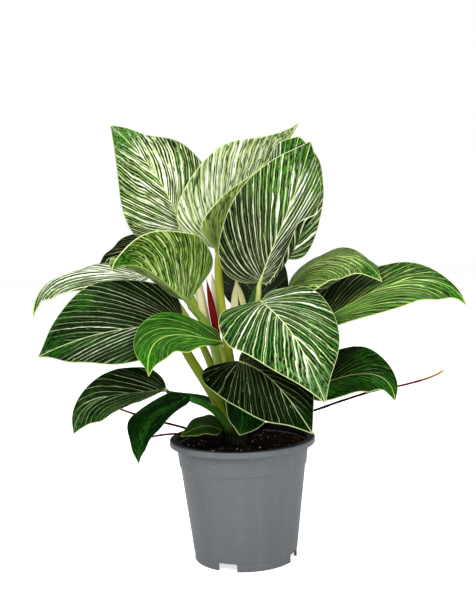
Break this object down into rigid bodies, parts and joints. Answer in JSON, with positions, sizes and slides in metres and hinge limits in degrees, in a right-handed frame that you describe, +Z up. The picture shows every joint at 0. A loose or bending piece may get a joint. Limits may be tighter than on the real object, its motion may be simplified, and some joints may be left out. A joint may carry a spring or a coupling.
{
  "type": "potted philodendron",
  "caption": "Leafy philodendron with broad heart-shaped striped leaves on thick stalks, growing in a round tapered nursery pot.",
  "frame": {"origin": "middle of the bounding box on the surface the pot stands on", "axes": "+Z up, +X the plant's right as seen from the front, +Y away from the front"},
  "size_m": [0.348, 0.1941, 0.363],
  "materials": {
    "pot": "satin",
    "soil": "rough",
    "stalk": "satin",
    "leaf": "satin",
    "red_sheath": "satin",
    "cream_sheath": "satin",
    "root": "rough"
  },
  "bodies": {
    "root": {"pot": "pot", "soil": "soil", "crown_and_stalks": "stalk", "leaf_tall_left": "leaf", "leaf_tall_folded": "leaf", "leaf_tall_front": "leaf", "leaf_tall_back": "leaf", "leaf_arched_left": "leaf", "leaf_upper_left_back": "leaf", "leaf_long_left": "leaf", "leaf_broad_left": "leaf", "leaf_heart_front": "leaf", "leaf_small_left": "leaf", "leaf_dark_front": "leaf", "leaf_right_upper": "leaf", "leaf_right_long": "leaf", "leaf_right_back": "leaf", "leaf_right_low": "leaf", "leaf_low_left": "leaf", "leaf_low_left_small": "leaf", "leaf_on_soil": "leaf", "leaf_under_front": "leaf", "leaf_middle_back": "leaf", "sheath_red": "red_sheath", "sheath_cream_middle": "cream_sheath", "sheath_cream_left": "cream_sheath", "sheath_cream_front": "cream_sheath", "root_right": "root", "root_left_upper": "root", "root_left_lower": "root"}
  },
  "joints": []
}
